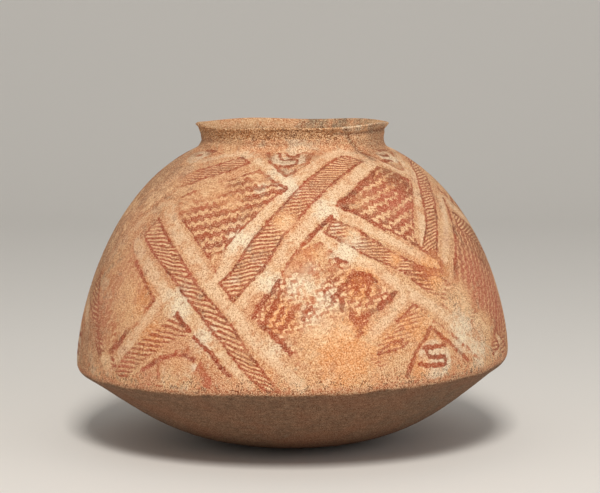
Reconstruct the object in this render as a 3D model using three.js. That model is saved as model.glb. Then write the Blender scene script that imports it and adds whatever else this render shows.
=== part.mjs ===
// A coil-built pottery jar. A bowl-shaped base carries a sharply turned shoulder, and a domed wall
// rises from it coil by coil to a short neck and an everted rim. Each coil laps down inside the one
// below it on a slanting joint, as the potter presses it on before paddling the wall thin.
// Millimetres, +Z up. The origin is the middle of the worn flat that the jar stands on, and the
// front of the jar faces -Y.
import * as THREE from 'three';

// The outer face, from the foot up
const footRadius = 44;
const baseSlope = 34;            // degrees above level where the base meets the shoulder
const shoulderRadius = 222.5;    // the widest place
const shoulderHeight = 88.8;
const domeHeight = 212;          // of the domed wall, from the shoulder to the foot of the neck
const domeTopSlope = 25;         // degrees above level of the wall there, leaning in
const neckRadius = 99.3;         // at the foot of the neck
const neckHeight = 22;
const lipReach = 0.2;            // how far the lip's edge reaches out beyond the foot of the neck
const lipFlare = 48;             // degrees above level that the lip points, leaning out

// How full each stretch of the outer face is: the pull at its lower and its upper end, as shares
// of the straight distance between them
const baseFullness = [0.46, 0.27];
const domeFullness = [0.16, 0.425];
const neckFullness = [0.38, 0.4];

// The clay
const baseThickness = 10;
const wallThickness = 7.5;
const lipThickness = 4.5;
const lipRoundness = 0.35;       // height of the rounded lip, as a share of its thickness
const innerTurn = 6.5;           // radius of the shoulder's turned edge on the inner face

// The coils. Lengths run along the outer face
const shoulderCoilBelow = 24;    // of the shoulder coil, under the turned edge
const shoulderCoilAbove = 14;
const wallCoils = 7;
const neckCoilBelow = 9;         // of the neck coil, on the wall
const rimCoilLength = 15;
const lap = 10;                  // how far a joint slants down, from outer face to inner face
const jointGap = 0.3;

// What the hand and the kiln left uneven
const shoulderTilt = 6.4;        // the shoulder stands this much higher on the right than in front
// The lip rises and falls in these waves round the jar. A crest is in degrees round from the front
const rimWaves = [
  { height: 0.9, count: 1, crest: 79 },
  { height: 0.9, count: 2, crest: 67 },
  { height: 0.8, count: 5, crest: -10 },
];

// How finely the round shapes are cut
const sides = 64;
const lipSteps = 4;

const radians = THREE.MathUtils.degToRad;

// A unit step in the profile plane, (radius, height), at an angle above level and away from the axis
const heading = (angle) => new THREE.Vector2(Math.cos(radians(angle)), Math.sin(radians(angle)));

// A place on the profile: the outer point, the way the profile runs there, and the clay's thickness
const place = (radius, height, angle, thickness) => ({ radius, height, angle, thickness });

const turnRadius = innerTurn + wallThickness;
const neckBaseHeight = shoulderHeight + domeHeight;
const lipHeight = neckBaseHeight + neckHeight;
const places = {
  foot: place(footRadius, 0, 0, baseThickness),
  underShoulder: place(
    shoulderRadius - turnRadius * (1 - Math.sin(radians(baseSlope))),
    shoulderHeight - turnRadius * Math.cos(radians(baseSlope)),
    baseSlope,
    wallThickness,
  ),
  shoulder: place(shoulderRadius, shoulderHeight, 90, wallThickness),
  neckBase: place(neckRadius, neckBaseHeight, 180 - domeTopSlope, wallThickness),
  lip: place(neckRadius + lipReach, lipHeight, lipFlare, lipThickness),
};

// The point at a place, moved inwards through a share of the clay's thickness: 0 outer, 1 inner
function pointAt({ radius, height, angle, thickness }, share) {
  return new THREE.Vector2(radius, height).addScaledVector(heading(angle + 90), thickness * share);
}

// A smooth stretch between two places
function sweep(from, to, share, [fromPull, toPull]) {
  const start = pointAt(from, share);
  const end = pointAt(to, share);
  const distance = start.distanceTo(end);
  return new THREE.CubicBezierCurve(
    start,
    start.clone().addScaledVector(heading(from.angle), fromPull * distance),
    end.clone().addScaledVector(heading(to.angle), -toPull * distance),
    end,
  );
}

// The turned edge of the shoulder, a true arc
function turnedEdge(share) {
  const radius = turnRadius - wallThickness * share;
  const start = radians(baseSlope - 90);
  return new THREE.EllipseCurve(shoulderRadius - turnRadius, shoulderHeight, radius, radius, start, 0);
}

// One face of the jar, from the foot to the lip, as a chain of four curves
function face(share) {
  const curves = [
    sweep(places.foot, places.underShoulder, share, baseFullness),
    turnedEdge(share),
    sweep(places.shoulder, places.neckBase, share, domeFullness),
    sweep(places.neckBase, places.lip, share, neckFullness),
  ];
  return { curves, lengths: curves.map((curve) => curve.getLength()) };
}

const outer = face(0);
const inner = face(1);
const [baseLength, turnLength, wallLength, neckLength] = outer.lengths;

// Which curve of a face a distance along it falls on, and how far along that curve, from 0 to 1
function locate({ lengths }, distance) {
  let index = 0;
  let rest = distance;
  while (index < lengths.length - 1 && rest > lengths[index]) {
    rest -= lengths[index];
    index += 1;
  }
  return { index, share: THREE.MathUtils.clamp(rest / lengths[index], 0, 1) };
}

function along(surface, distance) {
  const { index, share } = locate(surface, distance);
  return surface.curves[index].getPointAt(share);
}

// The distance along the inner face that lies behind a distance along the outer face
function behind(distance) {
  const { index, share } = locate(outer, distance);
  const before = inner.lengths.slice(0, index).reduce((sum, length) => sum + length, 0);
  return before + share * inner.lengths[index];
}

// Evenly spaced points of a face, both ends included
function stretch(surface, from, to, steps) {
  return Array.from({ length: steps + 1 }, (_, i) => along(surface, from + ((to - from) * i) / steps));
}

// Half of the joint's gap, measured along a face because the joint is slanted
const halfGap = (jointGap / 2) * (Math.hypot(wallThickness, lap) / wallThickness);

// The joints, as distances along the outer face
const shoulderEnd = baseLength + turnLength;
const wallEnd = shoulderEnd + wallLength;
const baseJoint = baseLength - shoulderCoilBelow;
const shoulderJoint = shoulderEnd + shoulderCoilAbove;
const neckJoint = wallEnd - neckCoilBelow;
const rimJoint = wallEnd + neckLength - rimCoilLength;
const coilLength = (neckJoint - shoulderJoint) / wallCoils;

// The closed outline of a coil that is laid between two joints
function coilOutline(from, to, outerSteps, innerSteps) {
  const low = from + halfGap;
  const high = to - halfGap;
  return [
    ...stretch(outer, low, high, outerSteps),
    ...stretch(inner, behind(high) - lap, behind(low) - lap, innerSteps),
  ];
}

// The base is one bowl, so its outline starts and ends on the axis
function baseOutline() {
  const high = baseJoint - halfGap;
  return [
    new THREE.Vector2(0, 0),
    ...stretch(outer, 0, high, 8),
    ...stretch(inner, behind(high) - lap, 0, 7),
    new THREE.Vector2(0, baseThickness),
  ];
}

// The rim coil ends in a rounded lip, half an ellipse from the outer edge to the inner edge
function rimOutline() {
  const low = rimJoint + halfGap;
  const high = wallEnd + neckLength;
  const outerLip = pointAt(places.lip, 0);
  const across = pointAt(places.lip, 1).sub(outerLip).multiplyScalar(0.5);
  const middle = outerLip.clone().add(across);
  const rise = heading(lipFlare).multiplyScalar(lipThickness * lipRoundness);
  const lip = Array.from({ length: lipSteps - 1 }, (_, i) => {
    const turn = (Math.PI * (i + 1)) / lipSteps;
    return middle
      .clone()
      .addScaledVector(across, -Math.cos(turn))
      .addScaledVector(rise, Math.sin(turn));
  });
  return [
    ...stretch(outer, low, high, 3),
    ...lip,
    ...stretch(inner, behind(high), behind(low) - lap, 3),
  ];
}

// Leans the shoulder and waves the lip. Both fade out at the foot, so the flat stays flat
function settle(point) {
  const climb = point.z / shoulderHeight;
  const fall = (lipHeight - point.z) / (lipHeight - shoulderHeight);
  const tilt = Math.max(0, Math.min(climb, fall));
  const nearRim = THREE.MathUtils.smoothstep(point.z, neckBaseHeight, lipHeight);
  const round = Math.atan2(point.x, -point.y);
  point.z += (shoulderTilt * tilt * point.x) / shoulderRadius;
  for (const { height, count, crest } of rimWaves) {
    point.z += height * nearRim * Math.cos(count * (round - radians(crest)));
  }
}

// Turns an outline about the jar's axis and settles the result
function turned(outline) {
  const closed = outline[0].x === 0 ? outline : [...outline, outline[0]];
  const geometry = new THREE.LatheGeometry(closed, sides).rotateX(Math.PI / 2);
  const position = geometry.attributes.position;
  const point = new THREE.Vector3();
  for (let i = 0; i < position.count; i += 1) {
    settle(point.fromBufferAttribute(position, i));
    position.setXYZ(i, point.x, point.y, point.z);
  }
  geometry.computeVertexNormals();
  return geometry;
}

const bareClay = new THREE.MeshStandardMaterial({ color: 0x8a6a55, roughness: 0.92, metalness: 0 });
const paintedClay = new THREE.MeshStandardMaterial({ color: 0xd9a27c, roughness: 0.85, metalness: 0 });

function piece(name, outline, clay) {
  const mesh = new THREE.Mesh(turned(outline), clay);
  mesh.name = name;
  return mesh;
}

const jar = new THREE.Group();
jar.name = 'pottery_jar';
jar.add(piece('base_bowl', baseOutline(), bareClay));
jar.add(piece('shoulder_coil', coilOutline(baseJoint, shoulderJoint, 6, 5), paintedClay));
for (let i = 0; i < wallCoils; i += 1) {
  const low = shoulderJoint + i * coilLength;
  jar.add(piece(`wall_coil_${i + 1}`, coilOutline(low, low + coilLength, 2, 2), paintedClay));
}
jar.add(piece('neck_coil', coilOutline(neckJoint, rimJoint, 3, 3), paintedClay));
jar.add(piece('rim_coil', rimOutline(), paintedClay));

export default jar;
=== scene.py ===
import math
from functools import reduce

import bpy
import numpy as np
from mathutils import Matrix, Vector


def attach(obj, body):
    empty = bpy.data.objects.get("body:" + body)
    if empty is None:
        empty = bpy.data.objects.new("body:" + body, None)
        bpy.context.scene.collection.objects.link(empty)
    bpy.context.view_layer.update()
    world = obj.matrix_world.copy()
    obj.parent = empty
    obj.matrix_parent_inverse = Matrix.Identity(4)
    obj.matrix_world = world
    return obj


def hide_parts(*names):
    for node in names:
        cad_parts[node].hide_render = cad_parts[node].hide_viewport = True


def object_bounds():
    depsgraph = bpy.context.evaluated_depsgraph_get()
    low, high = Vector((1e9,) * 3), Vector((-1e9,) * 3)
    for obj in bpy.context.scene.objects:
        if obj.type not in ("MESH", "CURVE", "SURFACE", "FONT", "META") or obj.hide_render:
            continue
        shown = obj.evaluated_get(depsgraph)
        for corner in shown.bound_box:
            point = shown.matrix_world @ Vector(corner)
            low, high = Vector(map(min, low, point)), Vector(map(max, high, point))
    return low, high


# A coil-built, slipped and painted pottery jar. Sizes are in millimetres until a mesh is made.
# A place on the wall is (degrees round from the front, rise), and a rise is in millimetres up the wall
# from the shoulder's edge
millimetre = 0.001

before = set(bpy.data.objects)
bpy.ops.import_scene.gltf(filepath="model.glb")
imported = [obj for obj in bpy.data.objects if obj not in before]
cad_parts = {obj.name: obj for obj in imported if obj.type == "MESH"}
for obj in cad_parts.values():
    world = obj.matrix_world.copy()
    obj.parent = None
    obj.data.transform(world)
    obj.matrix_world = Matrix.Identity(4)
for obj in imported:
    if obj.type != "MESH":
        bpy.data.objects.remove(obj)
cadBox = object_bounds()
print("frame loaded:", len(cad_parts), "pieces")

# The camera, in metres and degrees. It looks slightly down on the jar from the front
camera = {
    "place": (0.00789, -2.24265, 0.4483),
    "pitch": -6.365,
    "lens": 131.81,
    "sensor": 36,
}


def makeCamera():
    data = bpy.data.cameras.new("camera")
    data.lens = camera["lens"]
    data.sensor_width = camera["sensor"]
    looking = bpy.data.objects.new("camera", data)
    looking.location = camera["place"]
    looking.rotation_euler = (math.radians(90 + camera["pitch"]), 0, 0)
    bpy.context.scene.collection.objects.link(looking)
    bpy.context.scene.camera = looking


makeCamera()
print("camera set")

# The jar's outer and inner face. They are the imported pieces' own sizes, and the widest is read from them
jar = {
    "footRadius": 44,
    "baseSlope": 34,  # degrees above level where the base meets the shoulder
    "shoulderRadius": cadBox[1].x / millimetre,
    "shoulderHeight": 88.8,
    "domeHeight": 212,
    "domeTopSlope": 25,  # degrees above level where the dome meets the neck, leaning in
    "neckRadius": 99.3,
    "neckHeight": 22,
    "lipReach": 0.2,  # of the lip's edge, beyond the foot of the neck
    "lipFlare": 48,  # degrees above level that the lip points, leaning out
    "baseFullness": (0.46, 0.27),  # pull of each stretch at its lower and upper end
    "domeFullness": (0.16, 0.425),
    "neckFullness": (0.38, 0.4),
    "baseThickness": 10,
    "wallThickness": 7.5,
    "lipThickness": 4.5,
    "lipRoundness": 0.35,  # height of the rounded lip, as a share of its thickness
    "innerTurn": 6.5,  # radius of the shoulder's turned edge on the inner face
    "tilt": 6.4,  # the shoulder stands this much higher on the right than in front
    "rimWaves": ((0.9, 1, 79), (0.9, 2, 67), (0.8, 5, -10)),  # height, count, crest in degrees
}

# Where one coil ends and the next begins, along the outer face
coils = {
    "shoulderBelow": 24,
    "shoulderAbove": 14,
    "wallCoils": 7,
    "neckBelow": 9,
    "rimLength": 15,
    "lap": 10,  # how far a joint slants down, from the outer face to the inner one
    "drawBack": 0.25,  # of a joint's hidden face, so that two coils never touch
}

# How finely the clay is meshed. Steps are the millimetres from row to row
mesh = {
    "columns": 1080,
    "wallStep": 1.2,
    "baseStep": 3.4,
    "innerStep": 4,
    "baseInnerStep": 9,
    "lipRows": 12,
    "jointShares": (0.06, 0.5, 0.94),  # where a joint has rows, from its outer to its inner corner
    "footRows": 5,
    "curvePoints": 400,
    "skin": 0.2,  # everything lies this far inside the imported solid
}
columnAngles = np.arange(mesh["columns"]) * 360 / mesh["columns"] - 180


# A unit step in the profile, its cosine outwards and its sine up, at an angle above level
def heading(angle):
    return np.array([math.cos(math.radians(angle)), math.sin(math.radians(angle))])


# A point of the profile, moved into the clay by a share of its thickness
def facePoint(radius, height, angle, thickness, share):
    return np.array([radius, height]) + heading(angle + 90) * thickness * share


# A cubic curve between two places of the profile; its ends pull along the slope there
def sweep(start, end, share, pulls):
    first = facePoint(*start, share)
    last = facePoint(*end, share)
    reach = np.linalg.norm(last - first)
    firstPull = first + heading(start[2]) * pulls[0] * reach
    lastPull = last - heading(end[2]) * pulls[1] * reach
    t = np.linspace(0, 1, mesh["curvePoints"])[:, None]
    s = 1 - t
    return first * s**3 + 3 * firstPull * t * s**2 + 3 * lastPull * t**2 * s + last * t**3


# One face of the jar from the foot to the lip: share 0 is the outer face, 1 the inner one
def makeFace(share):
    turn = jar["innerTurn"] + jar["wallThickness"]
    slope = math.radians(jar["baseSlope"])
    neckBase = jar["shoulderHeight"] + jar["domeHeight"]
    foot = (jar["footRadius"], 0, 0, jar["baseThickness"])
    under = (
        jar["shoulderRadius"] - turn * (1 - math.sin(slope)),
        jar["shoulderHeight"] - turn * math.cos(slope),
        jar["baseSlope"],
        jar["wallThickness"],
    )
    shoulder = (jar["shoulderRadius"], jar["shoulderHeight"], 90, jar["wallThickness"])
    neck = (jar["neckRadius"], neckBase, 180 - jar["domeTopSlope"], jar["wallThickness"])
    lipPoint = (jar["neckRadius"] + jar["lipReach"], neckBase + jar["neckHeight"])
    lip = (*lipPoint, jar["lipFlare"], jar["lipThickness"])
    # The shoulder's turned edge is an arc
    edge = turn - jar["wallThickness"] * share
    angles = np.linspace(slope - math.pi / 2, 0, mesh["curvePoints"])
    arcRadius = jar["shoulderRadius"] - turn + edge * np.cos(angles)
    arcHeight = jar["shoulderHeight"] + edge * np.sin(angles)
    curves = [
        sweep(foot, under, share, jar["baseFullness"]),
        np.stack([arcRadius, arcHeight], -1),
        sweep(shoulder, neck, share, jar["domeFullness"]),
        sweep(neck, lip, share, jar["neckFullness"]),
    ]
    points = np.concatenate([curves[0]] + [curve[1:] for curve in curves[1:]])
    distance = np.r_[0, np.cumsum(np.linalg.norm(np.diff(points, axis=0), axis=1))]
    slopes = np.gradient(points, distance, axis=0)
    lengths = [np.linalg.norm(np.diff(curve, axis=0), axis=1).sum() for curve in curves]
    # The way into the clay: to the left of an upward run on the outer face, to the right on the inner one
    side = 1 if share == 0 else -1
    into = np.stack([-slopes[:, 1], slopes[:, 0]], -1) * side
    into /= np.linalg.norm(into, axis=1, keepdims=True)
    return {"distance": distance, "points": points, "into": into, "ends": np.r_[0, np.cumsum(lengths)]}


outer = makeFace(0)
inner = makeFace(1)
shoulderEnd = outer["ends"][2]
wallTop = outer["ends"][3] - shoulderEnd
lipTop = outer["ends"][4] - shoulderEnd
lipHeight = jar["shoulderHeight"] + jar["domeHeight"] + jar["neckHeight"]
print("profile drawn, up to", round(lipHeight), "mm")


# Radius, height and the way into the clay at distances along a face
def alongFace(face, distance):
    columns = [face["points"][:, 0], face["points"][:, 1], face["into"][:, 0], face["into"][:, 1]]
    return np.stack([np.interp(distance, face["distance"], column) for column in columns], -1)


# The distance along the inner face that lies behind a rise on the outer face
def behind(rise):
    return np.interp(rise + shoulderEnd, outer["ends"], inner["ends"])


# 0 below low, 1 above high, and a smooth S between them
def smoothStep(value, low, high):
    t = np.clip((value - low) / (high - low), 0, 1)
    return t * t * (3 - 2 * t)


# How the corners of cubes are scattered over a list of random heights
scatter = {"count": 8192, "shift": 100, "factors": (73856093, 19349663, 83492791), "fold": 13}


# Random heights, 0 to 1, on the corners of cubes of this size, blended smoothly across each cube
def lumps(place, size, seed):
    heights = np.random.default_rng(seed).random(scatter["count"])
    scaled = place / size + scatter["shift"]
    corner = np.floor(scaled).astype(np.int64)
    blend = scaled - corner
    blend = blend * blend * (3 - 2 * blend)
    total = np.zeros(place.shape[:-1])
    for step in np.ndindex(2, 2, 2):
        key = ((corner + step) * scatter["factors"]).sum(-1)
        weight = np.prod(np.where(step, blend, 1 - blend), axis=-1)
        total += weight * heights[(key ^ (key >> scatter["fold"])) % scatter["count"]]
    return total


# How the hand, the tools and wear shape the surface. Depths are millimetres into the clay
relief = {
    "hollows": (0.55, 75, 3),  # depth, size, seed: slow unevenness of paddling
    "dents": (0.28, 26, 4),
    "grain": (0.22, 5.5, 5),
    "grit": (0.2, 2.5, 6),
    "scrape": (0.25, (40, 40, 7.5), 7),  # level strokes of the scraper on the base
    "scrapeEnd": (-14, -8),  # rises over which the scraped base ends
    "coarse": (1.6, 2.6, 8),  # the rough band under the lip
    "lip": (0.8, 6.5, 9),
    "lipLumps": (2.4, 4.2, 10),
    "lipRise": (lipTop - 9, lipTop - 2),  # rises over which the two above begin
    "lumpyRound": (20, 84),  # where the lip was left lumpy
    "lumpyRise": (lipTop - 6, lipTop - 4),
    "lumpySoft": 14,  # degrees over which the lumps fade at each end
    "lumpyClaySoft": 6,  # the same for the dark and light dots on them, painted shade and highlight on the lumps
    "pitCount": 420,
    "pitRises": (-150, lipTop - 4),
    "pitDepths": (0.2, 0.7),
    "pitSizes": (0.7, 1.9),
    "pitSeed": 11,
    "knownPits": ((-39.8, 205, 1.6, 0.9), (-52, 176, 1.4, 0.8), (5, 118, 1.2, 0.7), (21, 150, 1.1, 0.6)),
    "fade": 3,  # a line or pit is followed out to this many of its widths
    "crack": ((33, 280), (34.5, 275), (38, 268), (42, 262), (44, 250), (46, 240)),
    "crackWidth": 1.5,
    "crackDepth": 0.8,
    "coarseRound": (-96, 34),  # where the rough band lies
    "coarseRise": (267, 272),
    # The grooves under it and under the lumpy lip: rise, half width, depth, where round the jar
    "ledge": (266.5, 2.2, 0.9, (-96, 34)),
    "underLip": (lipTop - 7, 1.8, 1.8, (24, 92)),
    "grooveWaves": (0.8, 5),  # their height, and how many go round the jar
    "flatFoot": 16,  # millimetres over which the relief fades in round the foot
}


# Depth of uneven hollows at places: lumps of a size, scaled to a depth
def hollowOf(place, depth, size, seed):
    return depth * lumps(place, np.array(size, float), seed)


# The rows and columns within a margin of a line of places, as an index into both, and the degrees of those
# columns, counted without a jump across the line
def areaOf(line, rises, margin, turn=0):
    line = np.asarray(line, float)
    near = (rises > line[:, 1].min() - margin) & (rises < line[:, 1].max() + margin)
    rows = np.flatnonzero(near)
    if not len(rows):
        return None
    spread = math.degrees(margin / alongFace(outer, rises[rows] + shoulderEnd)[:, 0].min())
    start = line[:, 0].min() - spread
    degrees = (columnAngles - turn - start) % 360 + start
    columns = np.flatnonzero(degrees < line[:, 0].max() + spread)
    return np.ix_(rows, columns), degrees[columns][None, :]


# Distance in millimetres from places on the wall to a line of places
def distanceTo(line, degrees, rise, radius):
    best = np.full(np.broadcast(degrees, rise, radius).shape, np.inf)
    for (startRound, startRise), (endRound, endRise) in zip(line[:-1], line[1:]):
        across = np.radians(degrees - startRound) * radius
        up = rise - startRise
        runAcross = np.radians(endRound - startRound) * radius
        runUp = endRise - startRise
        share = np.clip((across * runAcross + up * runUp) / (runAcross**2 + runUp**2 + 1e-9), 0, 1)
        best = np.minimum(best, np.hypot(across - share * runAcross, up - share * runUp))
    return best


# Joins a fading line of places to an array over the rows: the amount on the line, less away from it by a
# bell curve of its width. A spot is a line with both ends in one place
def addFading(array, how, line, width, amount, rises, radius, fade=relief["fade"]):
    found = areaOf(line, rises, fade * width)
    if found:
        area, degrees = found
        away = distanceTo(line, degrees, rises[area[0]], radius[area[0][:, 0]])
        array[area] = how(array[area], amount * np.exp(-((away / width) ** 2)))


# How far a stretch of the jar's round counts at each column: 1 inside it, 0 outside, and soft over these
# degrees each way at its ends
def within(stretch, soft=8):
    start, end = stretch
    away = np.abs(columnAngles - (start + end) / 2)
    return 1 - smoothStep(away, (end - start) / 2 - soft, (end - start) / 2 + soft)


# Share of the rough band at each place, 0 to 1
def coarseness(rises):
    return within(relief["coarseRound"])[None, :] * smoothStep(rises, *relief["coarseRise"])[:, None]


# Share of the lumpy lip at each place, 0 to 1
def lumpiness(rises):
    lumpy = within(relief["lumpyRound"], relief["lumpyClaySoft"])
    return lumpy[None, :] * smoothStep(rises, *relief["lumpyRise"])[:, None]


# Depth of a groove that runs round a stretch of the jar, a little unevenly
def grooveDepth(rises, name):
    rise, halfWidth, depth, stretch = relief[name]
    height, count = relief["grooveWaves"]
    waved = rises[:, None] - rise - height * np.sin(np.radians(count * columnAngles))[None, :]
    return depth * within(stretch)[None, :] * np.exp(-((waved / halfWidth) ** 2))


# Small round hollows: a smooth dip at each drawn place and at each that is given
def pitDepth(rises, radius):
    draw = np.random.default_rng(relief["pitSeed"])
    count = relief["pitCount"]
    turns = draw.uniform(-180, 180, count)
    heights = draw.uniform(*relief["pitRises"], count)
    sizes = draw.uniform(*relief["pitSizes"], count)
    depths = draw.uniform(*relief["pitDepths"], count)
    total = np.zeros((len(rises), len(columnAngles)))
    for turn, height, size, depth in [*zip(turns, heights, sizes, depths), *relief["knownPits"]]:
        addFading(total, np.add, [(turn, height)] * 2, size, depth, rises, radius)
    return total


# Depth of the surface into the clay, for rows of the outer face
def outerRelief(place, rises, radius):
    depth = mesh["skin"] + hollowOf(place, *relief["hollows"]) + hollowOf(place, *relief["dents"])
    depth += hollowOf(place, *relief["grain"]) + hollowOf(place, *relief["grit"])
    rise = np.broadcast_to(rises[:, None, None], (*place.shape[:2], 1))
    bare = 1 - smoothStep(rises, *relief["scrapeEnd"])[:, None]
    depth += bare * hollowOf(np.concatenate([place[..., :2], rise], -1), *relief["scrape"])
    depth += coarseness(rises) * hollowOf(place, *relief["coarse"])
    depth += grooveDepth(rises, "ledge") + grooveDepth(rises, "underLip")
    nearLip = smoothStep(rises, *relief["lipRise"])[:, None]
    lumpy = within(relief["lumpyRound"], relief["lumpySoft"])[None, :]
    depth += nearLip * hollowOf(place, *relief["lip"])
    depth += nearLip * lumpy * hollowOf(place, *relief["lipLumps"])
    depth += pitDepth(rises, radius)
    addFading(depth, np.add, relief["crack"], relief["crackWidth"], relief["crackDepth"], rises, radius)
    offFoot = smoothStep(rises, -shoulderEnd, relief["flatFoot"] - shoulderEnd)
    return depth * offFoot[:, None]


def innerRelief(place):
    return mesh["skin"] + hollowOf(place, *relief["hollows"]) + hollowOf(place, *relief["dents"])


# Leans the shoulder and waves the lip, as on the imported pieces
def settle(points):
    x, y, z = points[..., 0], points[..., 1], points[..., 2]
    climb = z / jar["shoulderHeight"]
    fall = (lipHeight - z) / (lipHeight - jar["shoulderHeight"])
    height = z + jar["tilt"] * np.maximum(0, np.minimum(climb, fall)) * x / jar["shoulderRadius"]
    nearRim = smoothStep(z, lipHeight - jar["neckHeight"], lipHeight)
    turned = np.arctan2(x, -y)
    for rise, count, crest in jar["rimWaves"]:
        height += rise * nearRim * np.cos(count * (turned - math.radians(crest)))
    return np.stack([x, y, height], -1)


# A radius and height carried round the jar: x is the radius times the sine of the angle, and y less its
# cosine, so the front is at 0 degrees
def carriedRound(radius, height):
    angle = np.radians(columnAngles)[None, :]
    return np.stack([radius * np.sin(angle), -radius * np.cos(angle), height + 0 * angle], -1)


# Rows of a profile carried round the jar, each place pushed into the clay by its relief
def dressedRows(profile, reliefAt):
    radius, height, inward, upward = profile.T[..., None]
    depth = reliefAt(carriedRound(radius, height))
    return settle(carriedRound(radius + inward * depth, height + upward * depth))


def outerRows(rises):
    profile = alongFace(outer, rises + shoulderEnd)
    return dressedRows(profile, lambda place: outerRelief(place, rises, profile[:, :1]))


def innerRows(distances):
    return dressedRows(alongFace(inner, distances), innerRelief)


# The lip is half an ellipse from the outer face over to the inner one
def lipRows(shares):
    outerEnd = outer["points"][-1]
    across = (inner["points"][-1] - outerEnd) / 2
    crown = heading(jar["lipFlare"]) * jar["lipThickness"] * jar["lipRoundness"]
    angle = math.pi * shares[:, None]
    points = outerEnd + across * (1 - np.cos(angle)) + crown * np.sin(angle)
    into = across * np.cos(angle) / (across @ across) - crown * np.sin(angle) / (crown @ crown)
    profile = np.concatenate([points, into / np.linalg.norm(into, axis=1, keepdims=True)], 1)
    rises = np.full(len(shares), lipTop)
    share = smoothStep(shares, 0, 1)[:, None]

    def reliefAt(place):
        return outerRelief(place, rises, profile[:, :1]) * (1 - share) + innerRelief(place) * share

    return dressedRows(profile, reliefAt)


# Level rows: the worn flat under the base, with the clay above it, or the floor inside, with it below
def flatRows(radii, height, reliefAt):
    upward = -1 if height else 1
    profile = np.stack([radii, radii * 0 + height, radii * 0, radii * 0 + upward], -1)
    return dressedRows(profile, reliefAt)


# Evenly spaced steps from start to end, both included, near to this step
def evenSteps(start, end, step):
    return np.linspace(start, end, max(2, round(abs(end - start) / step) + 1))


# Steps with one more at each open end, inside the neighbour, so that both shade alike where they meet
def withNeighbours(steps, atStart=True, atEnd=True):
    before = [2 * steps[0] - steps[1]] if atStart else []
    after = [2 * steps[-1] - steps[-2]] if atEnd else []
    return np.concatenate([before, steps, after])


# A smooth stretch of rows. Normals are the cross product of the ways round the jar and along the rows
def makeStretch(points, atStart=True, atEnd=True, rises=None, depths=None):
    along = np.gradient(points, axis=0)
    roundJar = np.roll(points, -1, axis=1) - np.roll(points, 1, axis=1)
    normals = np.cross(roundJar, along)
    normals /= np.maximum(np.linalg.norm(normals, axis=-1, keepdims=True), 1e-12)
    kept = slice(int(atStart), len(points) - int(atEnd))
    return {"points": points[kept], "normals": normals[kept], "rises": rises, "depths": depths}


# A joint's slanting face, straight from one stretch's corner to the next one's, and drawn back a little
def makeJoint(before, after, drawBack):
    shares = np.array(mesh["jointShares"])[:, None, None]
    points = before["points"][-1] * (1 - shares) + after["points"][0] * shares + (0, 0, drawBack)
    return {"points": points, "normals": points * 0, "rises": None, "depths": None}


# The stretches of one coil, up its outer face and down its inner one
def coilStretches(low, high):
    rises = evenSteps(low, high, mesh["wallStep"])
    distances = evenSteps(behind(high) - coils["lap"], behind(low) - coils["lap"], mesh["innerStep"])
    outside = makeStretch(outerRows(withNeighbours(rises)), rises=rises)
    inside = makeStretch(innerRows(withNeighbours(distances)), depths=inner["ends"][-1] - distances)
    upper = makeJoint(outside, inside, -coils["drawBack"])
    return [outside, upper, inside, makeJoint(inside, outside, coils["drawBack"])]


# The rim coil runs over the lip in one smooth stretch
def rimStretches(low):
    rises = evenSteps(low, lipTop, mesh["wallStep"])
    shares = np.linspace(0, 1, mesh["lipRows"] + 2)[1:-1]
    distances = evenSteps(inner["ends"][-1], behind(low) - coils["lap"], mesh["wallStep"])
    points = np.concatenate([
        outerRows(withNeighbours(rises, atEnd=False)),
        lipRows(shares),
        innerRows(withNeighbours(distances, atStart=False)),
    ])
    allRises = np.concatenate([rises, shares * 0 + lipTop, distances * 0 + lipTop])
    depths = np.concatenate([rises * 0, shares * 0, inner["ends"][-1] - distances])
    skin = makeStretch(points, rises=allRises, depths=depths)
    return [skin, makeJoint(skin, skin, coils["drawBack"])]


# The base runs from the middle of its foot up to its joint, and back down to the middle of its floor
def baseStretches(high):
    rises = evenSteps(-shoulderEnd, high, mesh["baseStep"])
    distances = evenSteps(behind(high) - coils["lap"], 0, mesh["baseInnerStep"])
    radii = np.linspace(0, jar["footRadius"], mesh["footRows"] + 1)[1:-1]
    outside = np.concatenate([
        flatRows(radii, 0, lambda place: place[..., 0] * 0),
        outerRows(withNeighbours(rises, atStart=False)),
    ])
    inside = np.concatenate([
        innerRows(withNeighbours(distances, atEnd=False)),
        flatRows(radii[::-1], jar["baseThickness"], innerRelief),
    ])
    allRises = np.concatenate([radii * 0 - shoulderEnd, rises])
    depths = inner["ends"][-1] - np.concatenate([distances, radii * 0])
    under = makeStretch(outside, atStart=False, rises=allRises)
    floor = makeStretch(inside, atEnd=False, depths=depths)
    return [under, makeJoint(under, floor, -coils["drawBack"]), floor]


# The painted design. An outline is a list of sides, and each side is a smooth brushed curve through its
# places, from the corner where the side before it ends. The design comes three times round the jar
copies = (0, 120, 240)

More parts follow.
